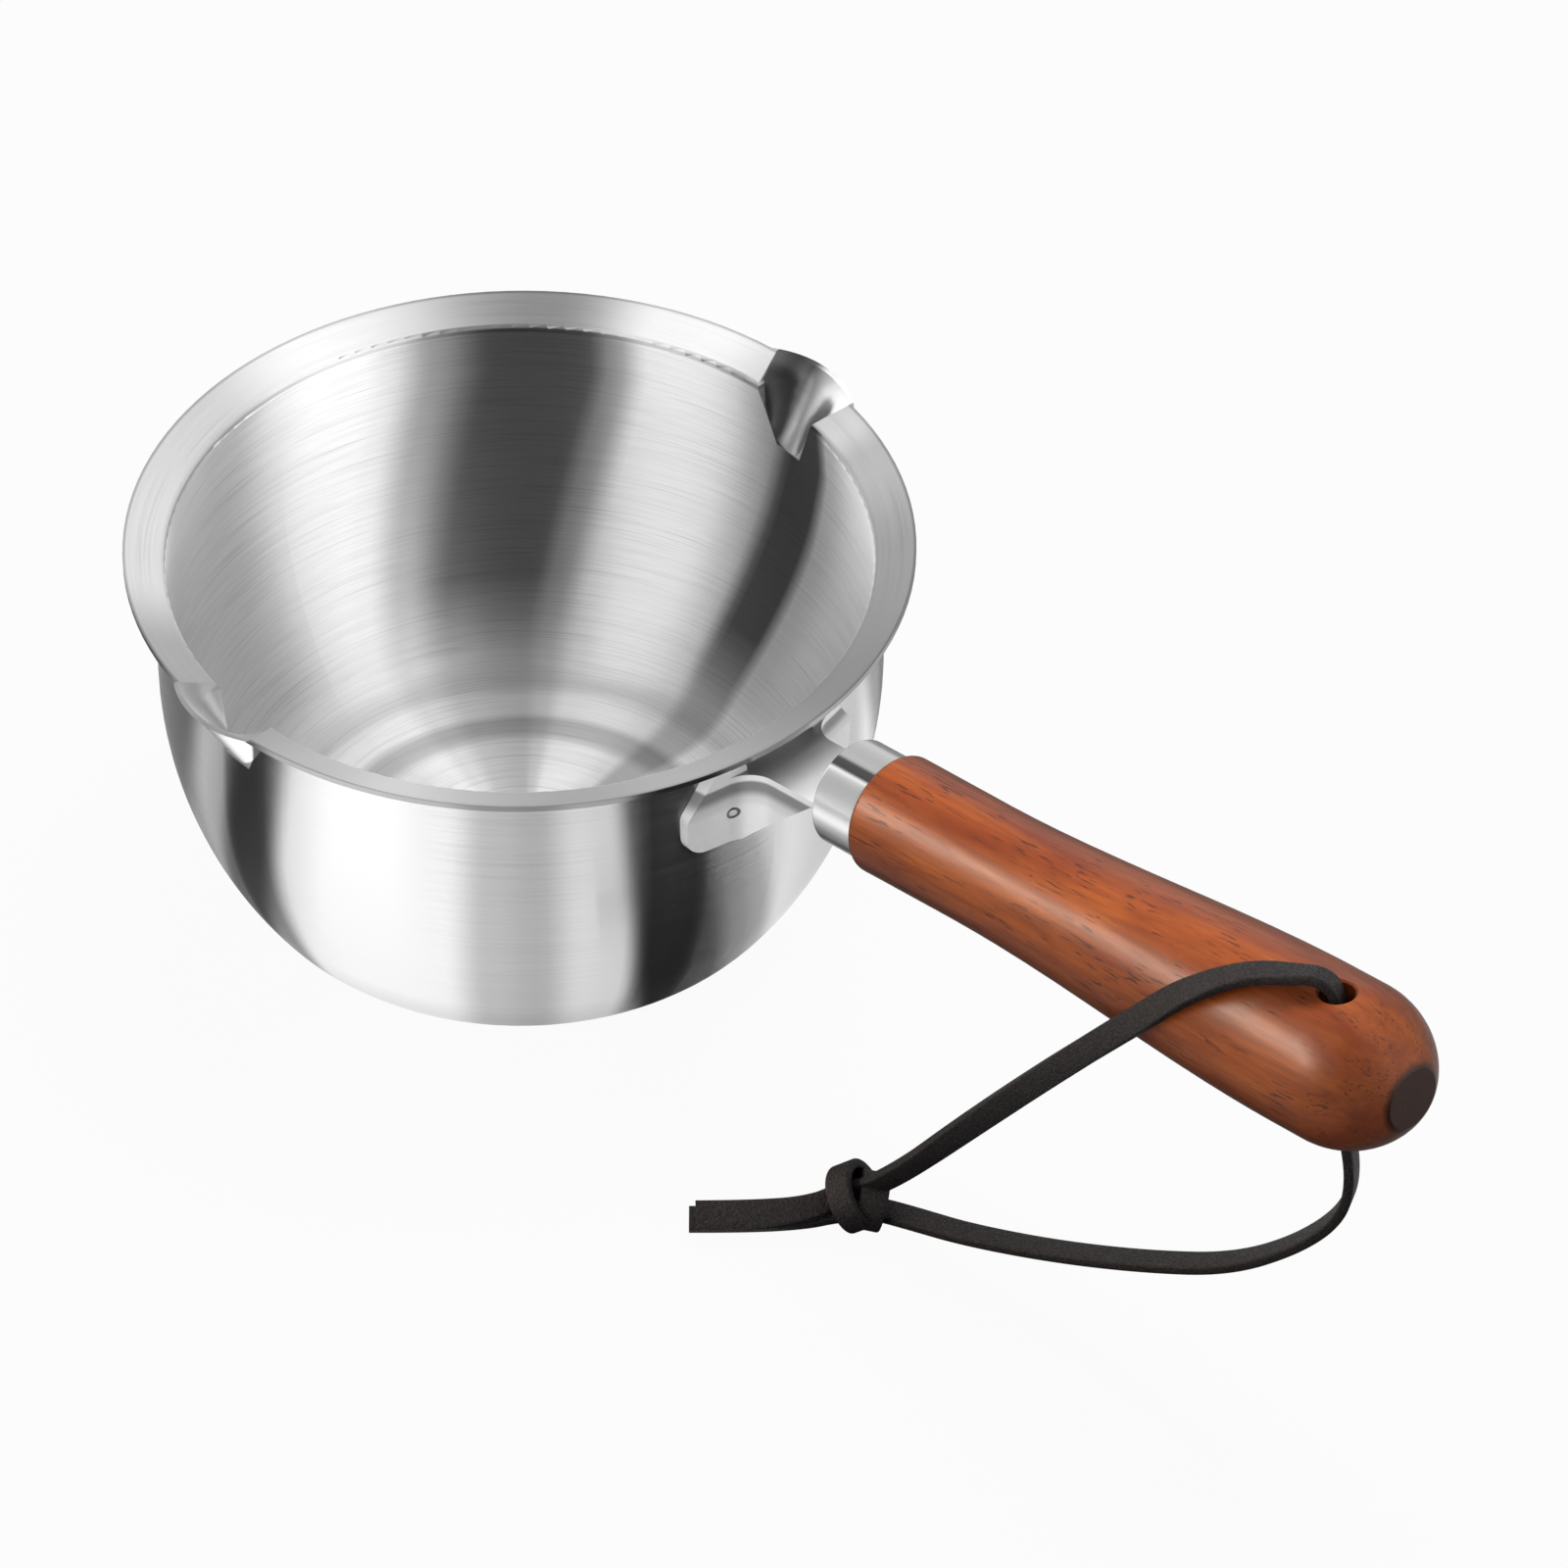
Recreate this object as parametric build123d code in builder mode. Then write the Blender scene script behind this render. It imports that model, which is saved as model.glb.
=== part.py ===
"""Stainless steel milk pan with two pressed pouring spouts, a turned wooden handle and a leather
hanging lace.

Millimetres, +Z up. The origin is the centre of the pan's flat underside. The handle runs along +X
and rises as it goes out, and the spouts face +Y and -Y.
"""
from build123d import *
from math import asin, atan2, cos, pi, radians, sin, sqrt, tan
import os

os.makedirs("parts", exist_ok=True)

# Driving sizes of the pressed steel pan
rim_diameter = 140.0
pan_height = 75.0
pan_sheet = 1.0
rim_overhang = 5.3
rim_rise = 2.9
rim_bend = 0.5
neck_inset = 1.2
belly_height = 49.0
foot_inset = 17.6
foot_round = 15.5

# The two spouts, pressed out through the rim and the top of the wall. Their line is turned a
# little from square to the handle.
spout_width = 20.0
spout_throat_width = 14.5
spout_foot_width = 6.0
spout_nose_reach = 2.6
spout_throat_reach = 7.9
spout_depth = 14.5
spout_turn = -3.0

# The line that the handle, its ferrule and the bracket's tongue share, as it leaves the wall
grip_line_drop = 7.7
grip_tilt = 7.5

# Stamped bracket, spot welded to the wall under the rim
bracket_sheet = 1.5
bracket_width = 14.5
bracket_bend = 1.2
bracket_flare = 6.0
lug_span = 39.6
lug_slope_span = 22.0
lug_end_drop = 5.8
lug_bottom_drop = 13.9
lug_corner = 3.6
lug_top_drop = 4.8
lug_shoulder_inset = 8.0
lug_shoulder_round = 1.5
gusset_tip_gap = 3.0
tongue_width = 11.0
tongue_length = 46.0
weld_spot_span = 22.0
weld_spot_drop = 7.4
weld_ring_diameter = 2.4
weld_ring_width = 0.45
weld_ring_depth = 0.2

# Ferrule, a drawn steel cap over the front of the handle
ferrule_standoff = 18.8
ferrule_diameter = 19.5
ferrule_length = 9.7
ferrule_sheet = 0.9
ferrule_edge = 0.4

# Turned wooden handle
grip_length = 120.8
grip_mouth_diameter = 21.9
grip_mouth_round = 0.9
grip_waist_diameter = 21.7
grip_waist_from_mouth = 22.0
grip_bulb_diameter = 28.9
grip_bulb_from_end = 21.6
grip_end_length = 15.0
grip_end_face_diameter = 11.0
hang_hole_diameter = 6.1
hang_hole_from_end = 16.0
hang_hole_round = 0.7

# Leather lace, doubled through the hole and tied in one overhand knot
lace_diameter = 3.6
knot_length = 12.4
knot_core_diameter = 10.6
knot_wrap_diameter = 12.6
knot_wrap_width = 4.7
knot_wrap_round = 1.0
knot_wrap_lean = 30.0

# Fits
slot_clearance = 0.1
spigot_clearance = 0.05
overrun = 5.0

rim_radius = rim_diameter / 2
belly_radius = rim_radius - rim_overhang
bend_height = pan_height - rim_rise
tilt = radians(grip_tilt)
grip_direction = Vector(cos(tilt), 0, sin(tilt))
grip_rise = Vector(-sin(tilt), 0, cos(tilt))
grip_origin = Vector(belly_radius, 0, pan_height - grip_line_drop)
grip_axis = Axis(grip_origin, grip_direction)
grip_side = Plane(origin=grip_origin, x_dir=grip_direction, z_dir=(0, -1, 0))
grip_flat = Plane(origin=grip_origin, x_dir=grip_direction, z_dir=grip_rise)


def grip_section(distance):
    """The plane square to the handle's line, at this distance along it from the wall."""
    return Plane(origin=grip_origin + grip_direction * distance, x_dir=(0, 1, 0), z_dir=grip_direction)


# The pan's half section is two arcs that meet at the belly, where the wall is upright: a slow one
# up to the neck, and a rounder one down to the foot. Both keep their centres when drawn inwards.
neck_run = bend_height - belly_height
upper_arc_radius = (neck_inset ** 2 + neck_run ** 2) / (2 * neck_inset)
lower_arc_radius = (foot_inset ** 2 + belly_height ** 2) / (2 * foot_inset)


def wall_radius(height, inset):
    """Radius of the wall's surface at a height, drawn in by inset from the outside."""
    arc_radius = upper_arc_radius if height > belly_height else lower_arc_radius
    reach = sqrt((arc_radius - inset) ** 2 - (height - belly_height) ** 2)
    return belly_radius - arc_radius + reach


rim_slope = atan2(rim_rise, rim_radius - wall_radius(bend_height, pan_sheet))
bend_under = bend_height - pan_sheet * (1 - sin(rim_slope)) / cos(rim_slope)
rim_under = pan_height - pan_sheet / cos(rim_slope)


def pan_solid(inset, bend, corner, rim_points):
    """The bowl and the space inside its flared rim as one turned solid."""
    with BuildPart() as solid:
        with BuildSketch(Plane.XZ) as section:
            with BuildLine():
                base = Line((0, inset), (wall_radius(inset, inset), inset))
                belly = (belly_radius - inset, belly_height)
                wall_top = (wall_radius(bend, inset), bend)
                TangentArc(belly, base @ 1, tangent=(0, -1))
                TangentArc(belly, wall_top, tangent=(0, 1))
                Polyline(wall_top, *rim_points, (0, rim_points[-1][1]), base @ 0)
            make_face()
            fillet(section.vertices().group_by(Axis.Y)[0].sort_by(Axis.X)[-1], foot_round - inset)
            fillet(section.vertices().sort_by_distance(wall_top)[0], corner)
        revolve(axis=Axis.Z)
    return solid.part


pan_outside = pan_solid(0, bend_under, rim_bend, [(rim_radius, rim_under), (rim_radius, pan_height)])
rim_beyond = rim_radius + overrun
pan_inside = pan_solid(
    pan_sheet,
    bend_height,
    rim_bend + pan_sheet,
    [(rim_beyond, pan_height + overrun * tan(rim_slope)), (rim_beyond, pan_height + overrun)],
)

# Each spout is ruled through three level outlines: at the rim, at the bend and at its foot on the
# wall. An outline is an arc between two shoulders that lie on the rim's or the wall's inner face.
spout_foot_height = pan_height - spout_depth
rim_shoulder = sqrt(rim_radius ** 2 - (spout_width / 2) ** 2)
bend_shoulder = sqrt(wall_radius(bend_height, pan_sheet) ** 2 - (spout_throat_width / 2) ** 2)
foot_shoulder = wall_radius(spout_foot_height, pan_sheet) - pan_sheet / 2
spout_outlines = [
    (spout_foot_height, spout_foot_width / 2, foot_shoulder, foot_shoulder + pan_sheet / 4),
    (bend_height, spout_throat_width / 2, bend_shoulder, bend_shoulder + spout_throat_reach),
    (pan_height, spout_width / 2, rim_shoulder, rim_shoulder + spout_nose_reach),
]


def spout_solid(growth):
    """The space of one spout, grown outwards all round."""
    with BuildPart() as spout:
        for height, half_width, shoulder, nose in spout_outlines:
            with BuildSketch(Plane.XY.offset(height)):
                with BuildLine():
                    wide = half_width + growth
                    arc = ThreePointArc((-wide, shoulder), (0, nose + growth), (wide, shoulder))
                    Polyline(arc @ 1, (wide, shoulder - overrun), (-wide, shoulder - overrun), arc @ 0)
                make_face()
        loft(ruled=True)
        if not growth:
            extrude(spout.faces().sort_by(Axis.Z)[-1], amount=overrun)
    return spout.part


with BuildPart() as pan_shell:
    add(pan_outside)
    for turn in (spout_turn, spout_turn + 180):
        add(spout_solid(pan_sheet), rotation=(0, 0, turn))
    add(pan_inside, mode=Mode.SUBTRACT)
    for turn in (spout_turn, spout_turn + 180):
        add(spout_solid(0), rotation=(0, 0, turn), mode=Mode.SUBTRACT)

# The bracket is one stamping: a flat top, two gussets folded down from it that run out before the
# ferrule, a lug at the foot of each gusset that lies on the wall, and a tongue into the handle.
lug_radius = belly_radius + bracket_sheet
lug_bottom = pan_height - grip_line_drop - lug_bottom_drop
bracket_end = belly_radius + ferrule_standoff
bracket_beyond = bracket_end + overrun


def bracket_block(hub_radius, half_width, flare):
    """The bracket's outline from above, carried up past its top."""
    with BuildPart() as block:
        with BuildSketch(Plane.XY.offset(lug_bottom - overrun)) as plan:
            Circle(hub_radius)
            with Locations((hub_radius, 0)):
                Rectangle(hub_radius, lug_span + overrun, mode=Mode.INTERSECT)
            with Locations((hub_radius / 2, 0)):
                Rectangle(bracket_beyond - hub_radius / 2, 2 * half_width, align=(Align.MIN, Align.CENTER))
            fillet(plan.vertices().sort_by(Axis.X)[-4:-2], flare)
        extrude(amount=pan_height - lug_bottom + overrun)
    return block.part


bracket_space_width = bracket_width - 2 * bracket_sheet
with BuildPart() as bracket_space:
    add(bracket_block(wall_radius(bend_height, 0), bracket_space_width / 2, bracket_flare + bracket_sheet))
    split(bisect_by=grip_flat.offset(-bracket_sheet / 2), keep=Keep.BOTTOM)

gusset_tip = bracket_end - gusset_tip_gap
gusset_tip_height = grip_origin.Z + (gusset_tip - belly_radius) * tan(tilt) - bracket_sheet / 2 / cos(tilt)
gusset_beyond_height = gusset_tip_height + (bracket_beyond - gusset_tip) * tan(tilt)
tongue_start = ferrule_standoff - bracket_sheet

# Each lug has a shoulder that stands a little above the flat top, close under the rim
with BuildPart() as lug_shoulders:
    with BuildSketch(Plane.YZ) as shoulder_outline:
        lug_end_height = grip_origin.Z - lug_end_drop
        shoulder_height = pan_height - lug_top_drop - lug_end_height
        for side in (-1, 1):
            with Locations((side * lug_shoulder_inset, lug_end_height)):
                align = (Align.MIN if side > 0 else Align.MAX, Align.MIN)
                Rectangle(lug_slope_span / 2, shoulder_height, align=align)
        fillet(shoulder_outline.vertices().group_by(Axis.Y)[-1], lug_shoulder_round)
    extrude(amount=bracket_beyond)
    Cylinder(lug_radius, 2 * pan_height, mode=Mode.INTERSECT)
    add(pan_outside, mode=Mode.SUBTRACT)

with BuildPart() as handle_bracket:
    add(bracket_block(lug_radius, bracket_width / 2, bracket_flare))
    split(bisect_by=grip_flat.offset(bracket_sheet / 2), keep=Keep.BOTTOM)
    for side in (0, -1):
        bracket_top = handle_bracket.faces().sort_by(Axis(grip_origin, grip_rise))[-1]
        fillet(bracket_top.edges().filter_by(grip_axis).sort_by(Axis.Y)[side], bracket_bend)
    add(bracket_space.part, mode=Mode.SUBTRACT)
    add(pan_outside, mode=Mode.SUBTRACT)
    add(lug_shoulders.part)
    split(bisect_by=grip_section(ferrule_standoff), keep=Keep.BOTTOM)
    with BuildSketch(Plane.YZ) as lug_outline:
        with BuildLine():
            Polyline(
                (lug_slope_span / 2, pan_height),
                (lug_span / 2, lug_end_height),
                (lug_span / 2, lug_bottom),
                (-lug_span / 2, lug_bottom),
                (-lug_span / 2, lug_end_height),
                (-lug_slope_span / 2, pan_height),
                close=True,
            )
        make_face()
        fillet(lug_outline.vertices().group_by(Axis.Y)[0], lug_corner)
        fillet(lug_outline.vertices().sort_by(Axis.Y)[-4:-2], lug_corner)
    extrude(amount=bracket_beyond, mode=Mode.INTERSECT)
    with BuildSketch(Plane.XZ):
        with BuildLine():
            Polyline(
                (lug_radius, lug_bottom),
                (gusset_tip, gusset_tip_height),
                (bracket_beyond, gusset_beyond_height),
                (bracket_beyond, lug_bottom - overrun),
                (lug_radius, lug_bottom - overrun),
                close=True,
            )
        make_face()
    extrude(amount=lug_span, both=True, mode=Mode.SUBTRACT)
    with BuildSketch(grip_flat):
        with Locations((tongue_start, 0)):
            Rectangle(tongue_length + bracket_sheet, tongue_width, align=(Align.MIN, Align.CENTER))
    extrude(amount=bracket_sheet / 2, both=True)
    for side in (-1, 1):
        weld_angle = side * asin(weld_spot_span / 2 / lug_radius)
        facing = Vector(cos(weld_angle), sin(weld_angle), 0)
        spot = facing * (lug_radius - weld_ring_depth) + Vector(0, 0, grip_origin.Z - weld_spot_drop)
        with BuildSketch(Plane(origin=spot, z_dir=facing)):
            Circle(weld_ring_diameter / 2)
            Circle(weld_ring_diameter / 2 - weld_ring_width, mode=Mode.SUBTRACT)
        extrude(amount=overrun, mode=Mode.SUBTRACT)

# The ferrule is turned about the handle's line, with a slot in its front wall for the tongue.
ferrule_radius = ferrule_diameter / 2
ferrule_back = ferrule_standoff + ferrule_length


def tongue_slot(start, length):
    """The space that the bracket's tongue passes through, with its clearance."""
    with BuildPart() as slot:
        with BuildSketch(grip_flat):
            with Locations((start, 0)):
                slot_width = tongue_width + 2 * slot_clearance
                Rectangle(length, slot_width, align=(Align.MIN, Align.CENTER))
        extrude(amount=bracket_sheet / 2 + slot_clearance, both=True)
    return slot.part


with BuildPart() as ferrule:
    with BuildSketch(grip_section(ferrule_standoff)):
        Circle(ferrule_radius)
    extrude(amount=ferrule_length)
    ferrule_ends = ferrule.edges().filter_by(GeomType.CIRCLE).sort_by(grip_axis)
    fillet(ferrule_ends[0], ferrule_edge)
    with BuildSketch(grip_section(ferrule_standoff + ferrule_sheet)):
        Circle(ferrule_radius - ferrule_sheet)
    extrude(amount=ferrule_length, mode=Mode.SUBTRACT)
    add(tongue_slot(ferrule_standoff - overrun, overrun + ferrule_length), mode=Mode.SUBTRACT)

# The handle is turned about the same line: a spigot in the ferrule, a slow swelling from the waist
# to the bulb, and a round end with a small flat. A slot holds the tongue, and a hole the lace.
spigot_start = ferrule_standoff + ferrule_sheet + spigot_clearance
spigot_radius = ferrule_radius - ferrule_sheet - spigot_clearance
grip_end = ferrule_back + grip_length
waist = Vector(ferrule_back + grip_waist_from_mouth, grip_waist_diameter / 2)
bulb = Vector(grip_end - grip_bulb_from_end, grip_bulb_diameter / 2)
swell_handle_share = 1 / 3
swell_handle = Vector((bulb.X - waist.X) * swell_handle_share, 0)
hang_hole_at = grip_end - hang_hole_from_end

with BuildPart() as handle_grip:
    with BuildSketch(grip_side) as grip_profile:
        with BuildLine():
            mouth = Polyline(
                (spigot_start, 0),
                (spigot_start, spigot_radius),
                (ferrule_back, spigot_radius),
                (ferrule_back, grip_mouth_diameter / 2),
            )
            Line(mouth @ 1, waist)
            Bezier(waist, waist + swell_handle, bulb - swell_handle, bulb)
            rim_of_end = (grip_end - grip_end_length, bulb.Y)
            Line(bulb, rim_of_end)
            end_face = (grip_end, grip_end_face_diameter / 2)
            TangentArc(rim_of_end, end_face, tangent=(1, 0))
            Polyline(end_face, (grip_end, 0), (spigot_start, 0))
        make_face()
        fillet(grip_profile.vertices().sort_by_distance(mouth @ 1)[0], grip_mouth_round)
    revolve(axis=grip_axis)
    add(tongue_slot(ferrule_standoff, tongue_length + slot_clearance), mode=Mode.SUBTRACT)
    with BuildSketch(grip_side):
        with BuildLine():
            Polyline(
                (hang_hole_at, 0),
                (hang_hole_at + hang_hole_diameter / 2, 0),
                (hang_hole_at + hang_hole_diameter / 2, bulb.Y - hang_hole_round),
                (hang_hole_at + hang_hole_diameter / 2 + hang_hole_round + overrun, bulb.Y + overrun),
                (hang_hole_at, bulb.Y + overrun),
                close=True,
            )
        make_face()
        mirror(about=Plane.XZ)
    revolve(axis=Axis(grip_origin + grip_direction * hang_hole_at, grip_rise), mode=Mode.SUBTRACT)

# The lace goes through the hole: one strand bends down over the handle's side from the top, the
# other hangs from the bottom. They meet in the knot, and its two tails lie past it on the table.
lace_routes = {
    "lace_upper": [
        (196.9, 0.0, 84.7),
        (195.9, 0.1, 92.1),
        (195.0, 0.1, 99.0),
        (192.2, -1.6, 101.6),
        (187.9, -4.2, 100.6),
        (183.4, -6.1, 99.2),
        (179.2, -8.8, 97.1),
        (175.4, -11.7, 94.2),
        (171.6, -13.9, 90.4),
        (167.2, -15.9, 84.6),
        (158.8, -16.9, 73.6),
        (146.0, -17.9, 56.4),
        (131.5, -19.5, 36.2),
        (119.6, -21.0, 19.2),
        (111.3, -22.5, 9.2),
    ],
    "lace_lower": [
        (196.9, 0.0, 84.7),
        (198.5, -0.16, 72.86),
        (201.3, 0.3, 61.0),
        (199.4, 0.4, 50.4),
        (191.3, -1.3, 38.5),
        (179.5, -4.2, 27.3),
        (164.0, -8.0, 19.3),
        (147.0, -12.2, 12.3),
        (130.0, -16.4, 7.0),
        (119.0, -19.0, 4.9),
        (112.0, -21.6, 4.3),
    ],
    "lace_tail_over": [
        (108.3, -25.2, 7.6),
        (105.0, -31.6, 5.9),
        (99.0, -38.8, 5.2),
        (92.3, -45.7, 4.9),
    ],
    "lace_tail_under": [
        (107.6, -26.4, 4.0),
        (103.6, -30.4, 2.3),
        (97.2, -37.8, 2.0),
        (90.0, -45.1, 1.9),
    ],
}
lace_run_share = 0.45


def lace_tube(name, route):
    """A round tube along the route, with each arc as large as its two runs allow."""
    points = [Vector(point) for point in route]
    runs = [after - before for before, after in zip(points, points[1:])]
    radii = [
        lace_run_share * min(into.length, out.length) / tan(radians(into.get_angle(out)) / 2)
        for into, out in zip(runs, runs[1:])
    ]
    with BuildPart() as tube:
        with BuildLine() as path:
            FilletPolyline(*points, radius=radii)
        with BuildSketch(Plane(origin=points[0], z_dir=runs[0])):
            Circle(lace_diameter / 2)
        sweep()
    length = path.wire().length
    print(name, "length", round(length, 1), "radii", [round(radius, 1) for radius in radii])
    print(name, "volume", tube.part.volume, "section x length", pi * (lace_diameter / 2) ** 2 * length)
    return tube


laces = {name: lace_tube(name, route) for name, route in lace_routes.items()}

# The knot is a round core along the lace, with the last turn wrapped over it at a slant.
knot_centre = Vector(109.0, -24.0, 6.6)
knot_heading = Vector(0.743, 0.669, 0)
knot_wrap_heading = knot_heading + Vector(0, 0, tan(radians(knot_wrap_lean)))
knot_side = Plane(origin=knot_centre, x_dir=knot_heading, z_dir=knot_heading.cross(Vector(0, 0, 1)))

with BuildPart() as lace_knot:
    with BuildSketch(Plane(origin=knot_centre, z_dir=knot_wrap_heading)):
        Circle(knot_wrap_diameter / 2)
    extrude(amount=knot_wrap_width / 2, both=True)
    fillet(lace_knot.edges().filter_by(GeomType.CIRCLE), knot_wrap_round)
    with BuildSketch(knot_side):
        Ellipse(knot_length / 2, knot_core_diameter / 2)
        Rectangle(knot_length, knot_core_diameter, align=(Align.CENTER, Align.MAX), mode=Mode.SUBTRACT)
    revolve(axis=Axis(knot_centre, knot_heading))
    for lace in laces.values():
        add(lace.part, mode=Mode.SUBTRACT)

finished = {
    "pan_shell": pan_shell,
    "handle_bracket": handle_bracket,
    "ferrule": ferrule,
    "handle_grip": handle_grip,
    **laces,
    "lace_knot": lace_knot,
}
for name, piece in finished.items():
    print(name, piece.part.volume, piece.part.is_valid, len(piece.part.solids()))
    piece.part.label = name
    export_step(piece.part, f"parts/{name}.step")
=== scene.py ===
from math import cos, pi, radians, sin

import bpy
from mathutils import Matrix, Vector


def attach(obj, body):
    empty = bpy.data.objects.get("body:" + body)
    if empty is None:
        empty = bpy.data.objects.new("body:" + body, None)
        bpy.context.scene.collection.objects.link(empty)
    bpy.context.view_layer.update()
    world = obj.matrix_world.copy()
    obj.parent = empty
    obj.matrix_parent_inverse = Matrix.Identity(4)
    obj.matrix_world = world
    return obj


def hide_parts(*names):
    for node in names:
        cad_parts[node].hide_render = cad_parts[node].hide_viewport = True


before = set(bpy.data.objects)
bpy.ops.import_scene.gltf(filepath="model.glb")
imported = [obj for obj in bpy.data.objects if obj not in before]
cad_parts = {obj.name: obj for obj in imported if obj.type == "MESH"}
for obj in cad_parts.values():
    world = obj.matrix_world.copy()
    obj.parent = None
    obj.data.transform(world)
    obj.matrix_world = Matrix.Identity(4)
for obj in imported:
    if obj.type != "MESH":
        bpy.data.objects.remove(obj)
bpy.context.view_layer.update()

bpy.ops.object.select_all(action="DESELECT")
bpy.context.scene.view_settings.view_transform = "Standard"

# Camera: a long lens from above, looking across the pan with the handle coming forward to the right.
camera_data = bpy.data.cameras.new("camera")
camera_data.lens = 202.5
camera = bpy.data.objects.new("camera", camera_data)
bpy.context.collection.objects.link(camera)
camera.location = (0.8695454, -0.8027760, 1.0875318)
camera.rotation_euler = (radians(47.86715), radians(-0.60071), radians(45.54338))
bpy.context.scene.camera = camera

# Table top: a plain white matt sheet that the pan stands on. It looks white from the camera and in
# the steel, and still takes the pan's soft shadow.
table_width = 8
bpy.ops.mesh.primitive_plane_add(size=table_width)
table_top = bpy.context.object
table_top.name = "table_top"
table_paint = bpy.data.materials.new("table_paint")
table_paint.use_nodes = True
tree = table_paint.node_tree
tree.nodes.clear()


def seen_directly(tree):
    """1 for what the camera, a mirror or clear matter shows, and 0 for light that falls on a surface."""
    path = tree.nodes.new("ShaderNodeLightPath")
    seen = path.outputs["Is Camera Ray"]
    for ray in ("Is Glossy Ray", "Is Transmission Ray"):
        either = tree.nodes.new("ShaderNodeMath")
        either.operation = "MAXIMUM"
        tree.links.new(seen, either.inputs[0])
        tree.links.new(path.outputs[ray], either.inputs[1])
        seen = either.outputs[0]
    return seen


def mix_shaders(tree, share, first, last, surface_kind):
    """The first shader with a share of the last in it, put out as the finished surface."""
    blend = tree.nodes.new("ShaderNodeMixShader")
    tree.links.new(share, blend.inputs["Fac"])
    tree.links.new(first.outputs[0], blend.inputs[1])
    tree.links.new(last.outputs[0], blend.inputs[2])
    surface = tree.nodes.new(surface_kind)
    tree.links.new(blend.outputs[0], surface.inputs["Surface"])


matt = tree.nodes.new("ShaderNodeBsdfDiffuse")
matt.inputs["Color"].default_value = (0.5, 0.5, 0.5, 1)
lit = tree.nodes.new("ShaderNodeEmission")
lit.inputs["Color"].default_value = (1, 1, 1, 1)
lit.inputs["Strength"].default_value = 1.0
white_share = tree.nodes.new("ShaderNodeMath")
white_share.operation = "MULTIPLY"
white_share.inputs[1].default_value = 0.95
tree.links.new(seen_directly(tree), white_share.inputs[0])
mix_shaders(tree, white_share.outputs[0], matt, lit, "ShaderNodeOutputMaterial")
table_top.data.materials.append(table_paint)

# Room: an even white light from all round, and white behind the table.
room = bpy.data.worlds.new("room")
bpy.context.scene.world = room
room.use_nodes = True
tree = room.node_tree
tree.nodes.clear()
white = tree.nodes.new("ShaderNodeBackground")
white.inputs["Strength"].default_value = 1.0
soft = tree.nodes.new("ShaderNodeBackground")
soft.inputs["Strength"].default_value = 0.32
mix_shaders(tree, seen_directly(tree), soft, white, "ShaderNodeOutputWorld")


# Lamps: a large soft box above and a little behind the pan, and a weak one at the camera's left. The
# steel doesn't mirror them, since the cards below give it what it mirrors.
lamp_target = Vector((0.05, 0, 0.03))


def soft_box(name, place, size, power):
    """A lamp with a lit rectangle, turned toward the pan."""
    data = bpy.data.lights.new(name, "AREA")
    data.shape = "RECTANGLE"
    data.size, data.size_y = size
    data.energy = power
    lamp = bpy.data.objects.new(name, data)
    bpy.context.collection.objects.link(lamp)
    lamp.location = place
    lamp.rotation_euler = (lamp_target - Vector(place)).to_track_quat("-Z", "Y").to_euler()
    lamp.visible_camera = False
    lamp.visible_glossy = False
    return lamp


soft_box("front_box", (0.1, -1.2, 0.9), (0.7, 0.5), 4.0)
soft_box("top_box", (-0.1, 0.45, 1.4), (0.9, 0.6), 14.0)


# Reflection cards: a ring of white and black cards round the table, for the polished steel only.
# The bands run up and down, so that steel brushed round the pan draws them out into upright bands.
camera_side = -42.7


def ring_of_cards(name, rings):
    """One open shell round the table. Each ring has its radius and its height."""
    bpy.ops.object.select_all(action="DESELECT")
    bpy.ops.mesh.primitive_circle_add(vertices=96, radius=rings[0][0], location=(0, 0, rings[0][1]))
    ring = bpy.context.object
    ring.name = name
    bpy.ops.object.mode_set(mode="EDIT")
    bpy.ops.mesh.select_all(action="SELECT")
    for (radius, height), (last_radius, last_height) in zip(rings[1:], rings):
        bpy.ops.mesh.extrude_edges_move(TRANSFORM_OT_translate={"value": (0, 0, height - last_height)})
        grow = radius / last_radius
        bpy.ops.transform.resize(value=(grow, grow, 1), center_override=(0, 0, height))
    bpy.ops.object.mode_set(mode="OBJECT")
    bpy.ops.object.transform_apply(location=True)
    return ring


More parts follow.
